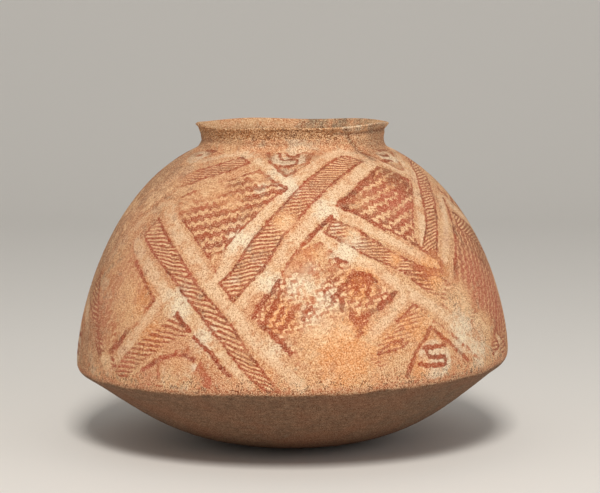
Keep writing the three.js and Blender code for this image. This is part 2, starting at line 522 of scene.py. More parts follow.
# Bars filled with fine level hatching between two border lines. Tilt is the slant of the strokes in degrees,
# rhythm counts them, and spine is the middle of the bar, each given by the rise that comes first
bars = {
    "risingLeft": {
        "sides": (
            ((-20.2, 101),),
            ((-16, 120), (-11, 150), (-4.3, 179), (5.5, 213), (18, 238.5), (28, 250.5)),
            ((31, 249), (38.5, 239)),
            ((30, 229), (22, 216), (13, 198), (3, 167), (-1.5, 150), (-8.8, 110), (-15.5, 80.5)),
        ),
        "border": 2.8,
        "tilt": ((90, 6), (113, 14), (153, 8), (173, 9), (193, 0), (230, -5), (250, -24)),
        "rhythm": ((80, 0), (106, 6), (190, 26), (205, 30), (250, 45)),
        "spine": ((80, -15.5), (101, -15.5), (150, -6), (179, 1), (213, 12), (250, 32)),
    },
    "risingRight": {
        "sides": (
            ((41.5, 127),),
            ((47, 147), (52, 170), (58, 196), (70, 221), (80, 233), (93, 250)),
            ((100, 238),),
            ((92, 226), (85, 218), (78, 208), (68, 194), (60, 170), (55, 152), (49, 125), (46.5, 113)),
        ),
        "border": 2.6,
        "tilt": ((120, 26), (140, 9), (168, 5), (190, 0), (230, 4)),
        "rhythm": ((110, 0), (145, 10), (172, 17), (250, 40)),
        "spine": ((113, 45), (170, 56), (210, 72), (245, 96)),
    },
    "fallingLeft": {
        "sides": (
            ((-50, 163),),
            ((-43, 148), (-37, 133), (-30, 111), (-23.5, 89), (-16, 63), (-10, 35), (-2.5, -4)),
            ((-6, -4),),
            (
                (-11.5, 15), (-15.5, 33), (-20, 51), (-26, 72),
                (-34, 98), (-40, 112), (-48.5, 131), (-54, 143),
            ),
        ),
        "border": 2.8,
        "tilt": ((10, -34), (38, -28), (58, -21), (98, -9), (118, -8), (138, 4), (158, 10)),
        "rhythm": ((-10, 0), (90, 16), (108, 19.5), (128, 24.5), (165, 34.5)),
        "spine": ((0, -5), (75, -23), (112, -35), (155, -50)),
    },
    "fallingRight": {
        "sides": (
            ((13.3, 168),),
            ((20, 155), (25, 144), (31, 128), (37, 114), (46, 97), (51, 82), (58, 55), (70, 12)),
            ((64, 6),),
            ((52, 52), (46, 62), (42, 75), (37, 90), (30, 110), (22, 124), (16, 139), (10.5, 150)),
        ),
        "border": 2.2,
        "tilt": ((60, -10), (118, -6), (138, -1), (160, 4)),
        "rhythm": ((0, 0), (110, 21), (140, 29.5), (170, 37)),
        "spine": ((10, 66), (60, 50), (100, 40), (150, 16)),
    },
}

# Panels filled with wavy bands, which slant by the tilt and are a period apart. Share is the painted share,
# strength how much of the paint is left, and gapPale how pale the gaps are
wavyPanels = {
    "upperLeft": {
        "sides": (
            ((-8, 184), (-14, 161), (-19, 140), (-22.3, 120), (-20.5, 104)),
            ((-25.5, 127), (-33, 148), (-41, 168), (-46, 187)),
            ((-40, 197), (-33, 207), (-25, 216), (-14.5, 228)),
            ((-9, 219), (-2, 204)),
        ),
        "border": 2,
        "tilt": 17,
        "middle": -24,
        "strength": 0.9,
        "gapPale": 0.3,
    },
    "upperRight": {
        "sides": (
            ((20, 190), (28, 205), (35, 215), (43, 231)),
            ((47, 225), (51, 218), (56, 204)),
            ((51, 187), (45, 165), (41, 140), (43.5, 120)),
            ((38, 136), (33, 148), (27, 158), (20, 175), (16.5, 182)),
        ),
        "border": 2.2,
        "tilt": 21,
        "middle": 36,
        "strength": 0.92,
        "share": 0.58,
        "gapPale": 0.75,
    },
    "middle": {
        "sides": (
            ((-3.5, 100), (0, 120), (2, 133), (7, 141)),
            ((13, 127), (18, 112), (23, 99), (29, 85)),
            ((25, 74), (20, 62), (15, 42)),
            ((1, 25),),
            ((-5, 48), (-10, 68)),
        ),
        "tilt": 52,
        "middle": 10,
        "period": 8,
        "waveHeight": 2.4,
        "strength": 0.74,
        "share": 0.45,
        "gapPale": 1,
    },
    "right": {
        "sides": (
            ((55, 110), (58, 122), (64, 148)),
            ((73, 127), (83, 99), (89, 86)),
            ((84, 60), (79, 30), (77, 6)),
            ((67.6, 28.5), (58.5, 55), (54, 72), (50.5, 88)),
        ),
        "border": 2,
        "tilt": 62,
        "middle": 68,
        "period": 9,
        "share": 0.66,
        "strength": 0.86,
        "copies": (0, 120),
    },
    "left": {
        "sides": (
            ((-66, 105), (-58, 134)),
            ((-52, 115), (-45, 98), (-39.5, 80)),
            ((-45, 57), (-52, 24), (-57, 12)),
            ((-62, 40), (-70, 84)),
        ),
        "border": 2.4,
        "tilt": 62,
        "middle": -55,
        "period": 9,
        "share": 0.62,
        "strength": 0.66,
        "copies": (0,),
    },
}

# Hatched corners of the lower triangles, without border lines
hatchedCorners = {
    "lowerLeft": {
        "sides": (
            ((-25.5, 50),),
            ((-30, 46), (-35, 35), (-39.5, 24), (-43.5, 10), (-46, 1)),
            ((-51, 6),),
            ((-47, 27), (-41, 45), (-35, 60), (-31.3, 69)),
        ),
        "tilt": ((0, 4), (40, -3), (60, -9)),
        "spine": ((0, -48), (70, -30)),
        "rhythm": ((0, 0), (70, 15)),
        "strength": 0.82,
        "gapPale": 0.4,
    },
    "lowerRight": {
        "sides": (
            ((38.4, 61),),
            ((34, 49), (30.5, 37), (26, 24), (23, 13)),
            ((19.5, 24),),
            ((21, 32), (25, 48), (31, 65), (34, 74)),
        ),
        "tilt": ((10, 8), (58, 11), (75, 26)),
        "spine": ((10, 22), (75, 34)),
        "rhythm": ((0, 0), (75, 17)),
        "share": 0.43,
        "gapPale": 0.4,
        "strength": 0.68,
    },
}

# The bands of pale slip left between the painted parts, and a painted highlight along the lip's top edge:
# places along the middle, width, and the copies that have it if not all
paleBands = {
    "overPanel": (((-28, 253), (-20, 245), (-13, 235), (-7, 224), (-1, 212)), 9),
    "besidePanel": (((-20.5, 106), (-18, 133), (-15, 150), (-10, 170), (-5, 190), (0, 206)), 12),
    "overBar": (((0, 206), (5, 222), (12, 238), (20, 250), (29, 256.5), (37, 251), (43, 243)), 10),
    "besideBar": (((-13, 82), (-9, 98), (-5.5, 111), (-2, 130), (2.5, 150), (7.5, 168), (12, 182)), 12),
    "belowBar": (((12, 182), (18, 198), (27, 214), (36, 229), (44, 240)), 12),
    "overFalling": (
        ((9, 180), (14, 173), (18, 168), (24, 155), (30, 143), (36, 130), (41, 118), (45, 109)),
        9,
    ),
    "besideRising": (((43, 128), (45.5, 145), (49, 167), (53.5, 187), (59, 203), (68, 221)), 9),
    "farRising": (((50, 112), (54, 128), (60, 152), (68, 178)), 9),
    "besideFalling": (
        ((-49, 178), (-43, 161), (-38.5, 148), (-32, 132), (-26, 111), (-20.5, 91), (-16, 76)),
        12,
    ),
    "crossing": (((-16, 76), (-12.5, 60), (-7.5, 40), (-2.5, 20), (2, 2)), 12),
    "underFalling": (((-56, 134), (-48.5, 118), (-40.5, 100), (-35.5, 86), (-30, 70), (-24.5, 56)), 12),
    "lowFalling": (((-24.5, 56), (-19, 38), (-14.5, 21), (-10, 3)), 8),
    "underBar": (((9, 150), (12, 139), (18, 124), (24, 110), (29, 97), (34, 83), (39, 71), (44, 57)), 10),
    "farUnder": (((44, 57), (49, 40), (54, 20), (58, 4)), 12),
    "leftCorner": (((-37, 82), (-40, 66), (-43.5, 52), (-46, 38), (-50, 22), (-54, 6)), 10),
    "rightCorner": (((31, 80), (27, 66), (22, 50), (17, 34), (12, 18), (9, 4)), 10),
    "scrollLeft": (((40, 252), (46, 240), (52, 226), (57, 213)), 8),
    "scrollRight": (((57, 213), (63, 224), (70, 237), (80, 250), (92, 257)), 8),
    # The lip band is a painted highlight along the lit top of the lip's bead
    "lip": (((16, 279.6), (45, 280), (65, 280), (90, 279.6)), 5.4, 0),
}

# Areas filled with plain grainy paint
fills = {
    "archLeft": {
        "sides": (
            ((-41, 11), (-37, 21), (-32, 30), (-27, 38.5)),
            ((-25.5, 30), (-24.2, 20)),
            ((-21, 19), (-20, 12), (-22, 0)),
            ((-46, 0),),
        ),
        "strength": 0.55,
    },
    "archRight": {
        "sides": (
            ((31, 18), (34.4, 33), (38.2, 49)),
            ((42, 37), (46, 20), (51.5, -1)),
            ((26, -1),),
        ),
        "strength": 0.5,
    },
    "scrollLeft": {
        "sides": (
            ((-9, 240), (-2, 220)),
            ((4, 236), (12, 252), (20, 259)),
            ((-15, 255),),
        ),
        "strength": 0.5,
    },
    "scrollRight": {
        "sides": (
            ((50, 238), (58, 221)),
            ((63, 234), (68, 245), (76, 254)),
            ((44, 256),),
        ),
        "strength": 0.5,
    },
}

# Discs and ovals left in bare slip inside the fills: middle, half width and half height in millimetres, and
# how pale they are
reserves = {
    "discLeft": ((-29.6, 10), 18.5, 20, 0.35),
    "discRight": ((38.4, 17), 23, 21, 0.7),
    "ovalLeft": ((-1.5, 246), 20, 12.5, 0.7),
    "ovalRight": ((60, 244), 17, 13, 0.7),
}

# Brush strokes: places, width, how strong the paint still is, and the copies that have it if not all
strokes = {
    "middleTop": (((13.3, 168.5), (11, 162.5), (9, 157), (6.5, 150), (5, 145)), 5, 1),
    "middleSide": (((5, 146), (3.2, 138), (1.2, 129), (-0.8, 119), (-2.4, 110)), 3.6, 0.76),
    "rightEdge": (((71, 177), (66, 158), (61, 135), (55, 110), (51, 88)), 3.4, 0.9, 0, 120),
    "panelTop": (((17.5, 183), (22, 192), (27, 201)), 6.5, 1),
    "panelTopTwo": (((27.5, 205), (33, 213), (39, 223)), 5, 0.9),
    "panelLow": (((17, 181), (20, 174), (25, 164.5), (30.5, 152)), 5, 1),
    "panelCorner": (((-13, 224), (-6.5, 211), (-1.8, 203), (-4, 197)), 3, 0.95),
    "barCorner": (((10.5, 151), (14, 144), (17.5, 137)), 3.6, 0.85),
    "smearOne": (((33, 104.5), (38, 99.5), (43, 94.5), (47, 89)), 3.2, 0.85),
    "smearTwo": (((36, 110), (42, 104), (49, 99)), 7, 0.75),
    "smearThree": (((46, 121), (48, 112), (49, 101)), 8, 0.7),
    "smearFour": (((40, 80), (43, 74), (47, 66)), 3.2, 0.5),
    "leftLow": (((-45, 58), (-48, 48), (-50, 38), (-53, 28), (-57, 18)), 6, 0.85),
    "leftSide": (((-52, 115), (-47.5, 104), (-43.5, 93), (-40, 80), (-42, 72)), 3, 0.85),
    "triangleLeft": (((-31.3, 68), (-29.5, 61), (-27, 54)), 5, 1),
    "triangleLeftLow": (((-25.5, 47.5), (-22.4, 38.5), (-20, 31.5), (-18, 22), (-15.5, 13)), 4.8, 0.92),
    "triangleRight": (((40, 54), (43.2, 45), (46, 36), (50, 24), (55.5, 8)), 2.6, 0.74),
    "archLeftLine": (((-40, 14), (-37, 20.5), (-34.5, 26), (-31, 29.6), (-28, 30), (-25, 27)), 4, 0.92),
    "archLeftInner": (((-35.4, 22), (-35.2, 15), (-35, 8)), 2.6, 0.7),
    "archLeftTop": (((-29.5, 32.5), (-27, 36), (-26, 31)), 4.5, 0.66),
    "archLeftSide": (((-23, 20), (-22, 14), (-21, 4)), 8, 0.7),
    "archRightLine": (
        ((29.6, 4), (31, 17), (33, 29), (36, 40), (38.4, 48), (41, 40), (45, 27), (50.5, 9)),
        3.8, 0.78,
    ),
    "hatchLoop": (((22, 29), (25, 36.5), (29.5, 38.5), (30, 35.5), (27, 31), (22, 28)), 2, 0.9),
    "hatchTop": (((28, 58), (31.5, 66), (34, 72.5), (36.5, 66)), 2.2, 0.85),
    "signTop": (((35.2, 30), (38.5, 29.6), (42, 29.6)), 4.6, 1),
    "signUpper": (((35.6, 29), (36.3, 21)), 4, 1),
    "signMiddle": (((36.6, 20.4), (39.5, 19), (41.6, 17.6), (42, 13.5)), 4.8, 1),
    "signBottom": (((33.4, 14.4), (35.2, 12.6), (38, 11.6), (41.8, 10.8)), 4.8, 1),
    "faintTop": (((-32, 10.5), (-29, 12.5), (-26.5, 10)), 2.2, 0.5),
    "faintBottom": (((-31.5, 3), (-28.5, 5.5), (-26.5, 1)), 2.2, 0.45),
    "scrollFieldLeft": (((-14.5, 256), (-10.5, 241), (-6.5, 231), (-2, 219.5), (1.5, 227)), 3.4, 0.76),
    "scrollFieldRight": (((5.5, 236), (7.5, 242), (9.5, 250), (12, 257)), 4.6, 0.7),
    "scrollSide": (((-7.2, 256), (-6.6, 250), (-5.6, 245)), 3.2, 0.8),
    "scrollTop": (((-2.6, 255), (-1.6, 251.5), (1.5, 250.4), (4, 251.6), (4, 255)), 3.6, 0.84),
    "scrollBottom": (
        (
            (-5.2, 247), (-4, 243.6), (-1, 244.6), (2.4, 244.4),
            (2.6, 240), (1, 236), (-2, 233), (-5.6, 234.5),
        ),
        3.6, 0.84,
    ),
    "farScrollField": (((43, 256), (50, 238), (58, 220.5), (64, 237), (72, 250)), 2.4, 0.7),
    "farScrollTop": (((60.5, 256.4), (65, 256), (69, 255.4)), 4.8, 0.95),
    "farScrollMiddle": (((55.5, 247), (58.5, 246.2), (61.5, 247)), 4.8, 0.95),
    "farScrollBottom": (((51, 236), (54.5, 238.6), (57.4, 236.4)), 4.8, 0.9),
    "neckLine": (((23, 265), (30, 261.5), (38, 263), (46, 260)), 1.4, 0.5),
    "neckLineTwo": (((46, 260), (49, 252), (51, 243)), 1.4, 0.4),
}

# What is left of the waves in two panels: short dabs of the brush, as places, width and strength
dabs = (
    (((-3.4, 104), (-4.6, 97), (-5.6, 91)), 5.4, 1),
    (((-6.6, 88), (-7.6, 82), (-8.6, 76)), 5.9, 1),
    (((-9, 73), (-9.6, 68)), 4.8, 1),
    (((-3, 93), (-4, 85), (-4.6, 79)), 4.8, 0.78),
    (((-5, 77), (-6, 70), (-6.8, 63)), 5.4, 1),
    (((-2.4, 76), (-3, 70), (-3.6, 66)), 4.6, 0.86),
    (((-0.3, 70), (-1, 65), (-1.8, 60)), 4.2, 0.82),
    (((-7.8, 62), (-5.6, 54), (-3.4, 47)), 5.4, 1),
    (((-3.2, 57), (-1.6, 59)), 4, 0.84),
    (((-2.8, 45), (-1.4, 39), (0, 34)), 5, 0.95),
    (((-1.8, 51), (-0.4, 47)), 3.6, 0.7),
    (((0.4, 32), (1.8, 26)), 3.6, 0.66),
    (((0, 77), (1.8, 75)), 4.8, 0.72),
    (((3.6, 70), (3.2, 65)), 4, 0.86),
    (((0.8, 71), (0.4, 66)), 3.4, 0.82),
    (((8, 139), (6, 134)), 6, 0.74),
    (((4.6, 132), (3.4, 127), (2, 125)), 8, 0.67),
    (((3, 124), (1.2, 119), (0.4, 115)), 8, 0.65),
    (((7.4, 130), (6, 125)), 3.4, 0.7),
    (((-0.4, 113), (-1.6, 109)), 6, 0.6),
    (((11.6, 129), (9.4, 127)), 4.4, 0.74),
    (((8.4, 125), (6.2, 121)), 5, 0.66),
    (((6, 119), (4.4, 116), (3, 116)), 4.4, 0.7),
    (((13, 122), (15.6, 120)), 4.8, 0.86),
    (((13, 117), (10, 113), (6, 110)), 4.8, 0.7),
    (((2, 113), (4.6, 112)), 4, 0.7),
    (((16.6, 104.5), (18.4, 106.5), (20.4, 105.5)), 7.4, 0.9),
    (((20.4, 105.5), (22.2, 102), (23.2, 99)), 7, 0.88),
    (((17.6, 101), (20.6, 99.6)), 6, 0.76),
    (((15.8, 99), (14.6, 96)), 5, 0.95),
    (((14, 94), (12.8, 90), (12, 86)), 5.4, 0.84),
    (((11.4, 84), (10.6, 80)), 4.2, 0.76),
    (((18.4, 98), (17.8, 92), (17.2, 88)), 4, 0.76),
    (((21, 98), (21.2, 91), (20.6, 84)), 4.4, 0.8),
    (((23.4, 93), (24.6, 88)), 4, 0.72),
    (((13.6, 80), (13.2, 73)), 5, 0.84),
    (((16, 73), (15.6, 67), (17, 62)), 6, 0.76),
    (((28.8, 86), (27.4, 82)), 5, 0.92),
    (((27, 80), (25, 77.6)), 5, 0.8),
    (((24.6, 76.4), (23, 72)), 6, 0.84),
    (((21.6, 70), (20.2, 67)), 5, 0.78),
    (((19.4, 65), (17.6, 60)), 5, 0.8),
    (((19.4, 60), (17.8, 55)), 4, 0.8),
    (((17.6, 51), (16.4, 47)), 4.6, 0.86),
    (((16, 44), (15.2, 39)), 3.2, 0.6),
    (((10, 50), (13, 53), (16, 51)), 3.2, 0.66),
    (((23.8, 84), (22.4, 83)), 4.8, 0.72),
    (((10.6, 85), (11.6, 80)), 3.6, 0.84),
    (((11.4, 65), (11, 60)), 3.2, 0.76),
    (((8.4, 60), (8, 55)), 3.6, 0.84),
    (((10.6, 53.4), (13.8, 52.2)), 2.8, 0.82),
    (((15.6, 67), (16.4, 61)), 4.6, 0.86),
    (((18.4, 58), (17, 53)), 4, 0.84),
    (((12.4, 104), (10.8, 100)), 3.8, 0.8),
    (((9, 105), (7.6, 101)), 3.4, 0.6),
    (((6, 98), (5, 94)), 3.2, 0.56),
    (((7.4, 88), (6.4, 84)), 3.2, 0.66),
    (((5.2, 78), (4.6, 73)), 3.4, 0.8),
    (((16.6, 85), (16, 80)), 3.8, 0.74),
    (((10, 94), (9, 91)), 3.8, 0.8),
    (((6.6, 68), (7.2, 64)), 3.2, 0.76),
    (((8, 82), (7.4, 77)), 3.2, 0.64),
    (((3, 90), (2.2, 84)), 3.2, 0.62),
    (((46, 204), (50, 210), (54, 206)), 6.4, 0.9),
    (((45, 194), (48, 197), (51, 200)), 7.4, 1),
    (((42, 186), (46, 190), (49, 190)), 4.8, 0.85),
)

# How the brush went. Sizes are millimetres
brush = {
    "hatchShare": 0.52,
    "hatchGapPale": 0.8,
    "waveShare": 0.56,
    "waveGapPale": 0.12,
    "wavePeriod": 11,
    "waveLength": 8.2,  # of one tooth, along a band
    "waveHeight": 1.7,  # of a tooth, to either side of the band
    "toothLean": 0.68,  # share of each tooth that climbs; the rest falls
    "wobble": (2.2, 20, 21, 22),  # size, how slowly it changes, seeds
    "curveSteps": 5,  # between two places of a brushed curve
    "margin": 7,  # how far round a painted part its fields are worked out
    "fringe": 0.6,  # how far past its edge a stroke sets the paint's strength
    "reserveEdge": (-1, 3),  # depth inside a reserve over which its pale slip begins
    "patchReach": 2.2,  # a patch is followed out to this many times its reach
    "lumpyDots": 0.75,  # how strongly the lumpy lip takes the rough band's dots, against the band itself: painted shade and highlight on its lumps
    "grooveShade": 0.45,  # how dark the painted shade in the grooves is, for each millimetre of their depth
    "crackSpread": 1.6,  # width of the crack's stain, against the crack itself
}

# Where paint and slip have changed, and where shade and highlight are painted on: degrees, rise, reach in
# millimetres, and how far
patches = {
    "worn": (
        (-2, 163, 14, 0.6), (-33, 200, 20, 0.55), (-14, 217, 14, 0.35), (10, 35, 23, 1),
        (6, 62, 12, 0.15), (-11, 42, 18, 0.3), (51, 66, 24, 0.8), (59, 34, 22, 0.85), (44, 88, 12, 0.6),
        (-60, 190, 34, 0.75), (-2, 8, 12, 0.6), (19, 152, 9, 0.4), (-50, 150, 10, 0.4),
        (-52, 82, 16, 0.5), (-47, 62, 12, 0.6), (4, 95, 12, 0.3), (-22, 122, 8, 0.6),
        (-76, 150, 44, 0.9), (-70, 215, 36, 0.8), (-68, 30, 20, 0.9), (-84, 90, 30, 0.8),
        (-22, 186, 14, 0.35), (-40, 180, 14, 0.4), (8, 128, 9, 0.3), (-50, 222, 16, 0.4),
        (19, 147, 11, 0.6), (31, 119, 10, 0.5), (-56, 10, 13, 1), (27, 184, 20, 0.25), (88, 60, 26, 0.7),
        (84, 200, 26, 0.6), (150, 120, 30, 0.6), (215, 60, 34, 0.7), (250, 180, 26, 0.6),
        (110, 30, 30, 0.6), (182, 205, 24, 0.5),
    ),
    "orange": (
        (14, 28, 36, 1), (34, 48, 26, 0.6), (-2, 163, 16, 0.5), (19, 97, 20, 1), (-3, 66, 20, 0.9),
        (2, 120, 16, 0.4), (43, 104, 22, 1), (31, 120, 12, 0.7), (22, 103, 12, 0.8), (17, 60, 14, 0.8),
        (34, 12, 14, 0.9), (42, 34, 12, 0.7), (5, 130, 10, 0.7), (26, 40, 14, 0.8), (31, 56, 13, 0.9),
        (-38, 46, 22, 0.7), (-45, 82, 20, 0.6), (-30, 22, 16, 0.6), (-8, 12, 24, 0.5),
        (40, 205, 26, 0.5), (-25, 190, 30, 0.4), (20, 232, 24, 0.4), (-15, 90, 18, 0.4),
        (130, 60, 40, 0.7), (220, 110, 44, 0.6), (170, 20, 36, 0.6),
    ),
    # Brown stains, with painted shade in the broad patches on the left side and on the neck at the right
    "brown": (
        (-82, 110, 62, 1), (-70, 20, 50, 0.8), (46, 250, 18, 0.8), (47, 215, 15, 0.8),
        (80, 120, 34, 0.7), (-78, 215, 62, 0.9), (-52, 170, 26, 0.5), (-10, 262, 30, 0.4),
        (96, 180, 50, 0.7), (70, 190, 30, 0.4), (12, 255, 14, 0.6), (-60, 240, 30, 0.5),
        (200, 230, 50, 0.5), (-110, 60, 50, 0.5), (160, 160, 30, 0.4), (59, 268, 26, 1),
        (72, 262, 26, 0.9), (-22, 207, 22, 0.4), (50, 200, 14, 0.5), (-12, 250, 10, 0.6),
        (0, 246, 14, 0.6), (9, 250, 10, 0.8), (-3, 227, 7, 0.7), (64, 252, 10, 0.6), (55, 236, 9, 0.5),
        (58, 228, 10, 0.5),
    ),
    "red": (
        (64, 84, 34, 0.9), (-64, 50, 32, 0.9), (-70, 150, 40, 0.7), (-66, 196, 46, 0.5),
        (-58, 212, 30, 0.6), (-54, 130, 60, 0.45), (-30, 30, 40, 0.4), (-34, 196, 44, 0.35),
        (40, 180, 30, 0.6), (60, 200, 30, 0.5), (-30, 108, 20, 0.4), (6, 196, 26, 0.35),
        (-4, 122, 18, 0.3), (-57, 88, 24, 0.6), (36, 186, 26, 0.5), (-48, 20, 20, 0.6),
        (-38, 6, 16, 0.7), (-20, 2, 16, 0.6), (75, 60, 40, 0.7), (-45, 225, 30, 0.4), (56, 130, 18, 0.6),
        (140, 200, 40, 0.5), (195, 90, 40, 0.6), (240, 30, 36, 0.6), (-110, 150, 50, 0.6),
    ),
    # Clean slip; the spots at rise 282 along the lip are a painted highlight on its lit top edge
    "cleanAndLipHighlight": (
        (-16, 146, 16, 1), (-1, 204, 14, 1), (-31, 78, 18, 1), (12, 177, 14, 1), (-22, 48, 16, 0.8),
        (-6, 102, 12, 1), (2, 98, 17, 1), (9, 86, 16, 0.9), (5, 70, 15, 0.8), (9, 56, 12, 0.5),
        (-24.6, 19, 5, 0.9), (5, 114, 9, 0.8), (16, 130, 18, 0.8), (-12, 202, 8, 0.9), (14, 157, 7, 0.8),
        (20, 138, 9, 0.7), (-16, 103, 7, 0.7), (-9, 120, 10, 0.6), (-5, 224, 14, 0.7), (-4, 42, 16, 0.6),
        (50, 38, 22, 0.9), (20, 142, 11, 0.7), (4, 266, 22, 0.6), (33, 282, 6, 1), (43, 282, 6, 1),
        (53, 282, 6, 1), (63, 282, 6, 1), (73, 282, 6, 0.9), (-1, 252, 12, 0.4), (-20, 262, 14, 0.3),
        (-66, 88, 14, 0.5), (-60, 74, 10, 0.4), (56, 16, 20, 0.7), (36, 10, 14, 0.5),
        (140, 100, 30, 0.6), (200, 150, 30, 0.6),
    ),
    "coarse": (
        (49, 72, 15, 0.8), (55, 48, 15, 0.75), (44, 84, 8, 0.6), (60, 26, 12, 0.6), (47, 94, 7, 0.6),
    ),
    "sooty": (
        (164, 281, 20, 0.8), (146, 281, 20, 0.7), (128, 281, 24, 0.6), (58, 270, 16, 0.3),
        (100, -90, 50, 0.5), (-60, -80, 40, 0.4), (230, -60, 60, 0.6), (48, -62, 60, 0.5),
        (-6, -80, 34, 0.35),
    ),
}

# What the finish reads at each place, and what it finds where nothing is painted
unpainted = {
    "strokeEdge": 20,  # millimetres outside the nearest brush stroke, less than 0 inside it
    "panelInside": -20,  # millimetres inside the nearest filled panel
    "bandInside": -20,  # millimetres inside the nearest pale band
    "hatchCount": 0,  # counts the strokes of the filling
    "hatchShare": 0.5,  # painted share of each count
    "gapPale": 0,
    "paintLeft": 1,
    "worn": 0,
    "orange": 0,
    "brown": 0,
    "red": 0,
    "cleanAndLipHighlight": 0,
    "sooty": 0,
    "slipRise": 60,  # rise above the shoulder's edge, in millimetres
    "depthInside": 0,  # millimetres down the inner face from the lip
    "coarse": 0,
    # the crack's stain, and painted shade in the grooves under the rough band and the lumpy lip
    "crack": 0,
}


def blankFields(shape):
    return {name: np.full(shape, float(value)) for name, value in unpainted.items()}


# A smooth curve through places: each span is a cubic whose end slopes follow the neighbouring places
def brushed(places):
    points = np.array(places, float)
    if len(points) < 3:
        return points
    slopes = np.gradient(points, axis=0)
    t = np.linspace(0, 1, brush["curveSteps"] + 1)[:-1, None, None]
    start, end, startSlope, endSlope = points[:-1], points[1:], slopes[:-1], slopes[1:]
    curve = start * (1 + 2 * t) * (1 - t) ** 2 + end * t * t * (3 - 2 * t)
    curve = curve + startSlope * t * (1 - t) ** 2 - endSlope * t * t * (1 - t)
    return np.concatenate([curve.transpose(1, 0, 2).reshape(-1, 2), points[-1:]])


# A closed outline. Each side starts at the corner where the one before it ends
def outlineOf(sides):
    corners = [side[-1] for side in sides]
    starts = [corners[-1], *corners[:-1]]
    line = np.concatenate([brushed([start, *side])[:-1] for start, side in zip(starts, sides)])
    return np.concatenate([line, line[:1]])


# Whether places lie inside a closed outline: an odd number of its edges lies to their right
def liesInside(outline, degrees, rise):
    inside = np.zeros(np.broadcast(degrees, rise).shape, bool)
    for (startRound, startRise), (endRound, endRise) in zip(outline[:-1], outline[1:]):
        if startRise != endRise:
            crossing = startRound + (rise - startRise) / (endRise - startRise) * (endRound - startRound)
            inside ^= ((startRise > rise) != (endRise > rise)) & (degrees < crossing)
    return inside


# Millimetres inside an outline, less than 0 outside it
def depthIn(outline, degrees, rise, radius):
    away = distanceTo(outline, degrees, rise, radius)
    return np.where(liesInside(outline, degrees, rise), away, -away)


# Level hatching: counts up the wall, tilted about the bar's own spine
def hatchCount(shape, degrees, rise, radius):
    spineRise, spineRound = np.array(shape["spine"], float).T
    tiltRise, tilt = np.array(shape["tilt"], float).T
    across = np.radians(degrees - np.interp(rise, spineRise, spineRound)) * radius
    up = rise - np.tan(np.radians(np.interp(rise, tiltRise, tilt))) * across
    rhythmRise, counts = np.array(shape["rhythm"], float).T
    return np.interp(up, rhythmRise, counts)


# Wavy bands: counts across slanting bands, with a zigzag along them
def waveCount(shape, degrees, rise, radius):
    across = np.radians(degrees - shape["middle"]) * radius
    slant = math.radians(shape["tilt"])
    along = across * math.cos(slant) + rise * math.sin(slant)
    over = rise * math.cos(slant) - across * math.sin(slant)
    share = (along / brush["waveLength"]) % 1
    lean = brush["toothLean"]
    tooth = np.where(share < lean, share / lean, (1 - share) / (1 - lean))
    height = shape.get("waveHeight", brush["waveHeight"])
    return (over + height * (2 * tooth - 1)) / shape.get("period", brush["wavePeriod"])


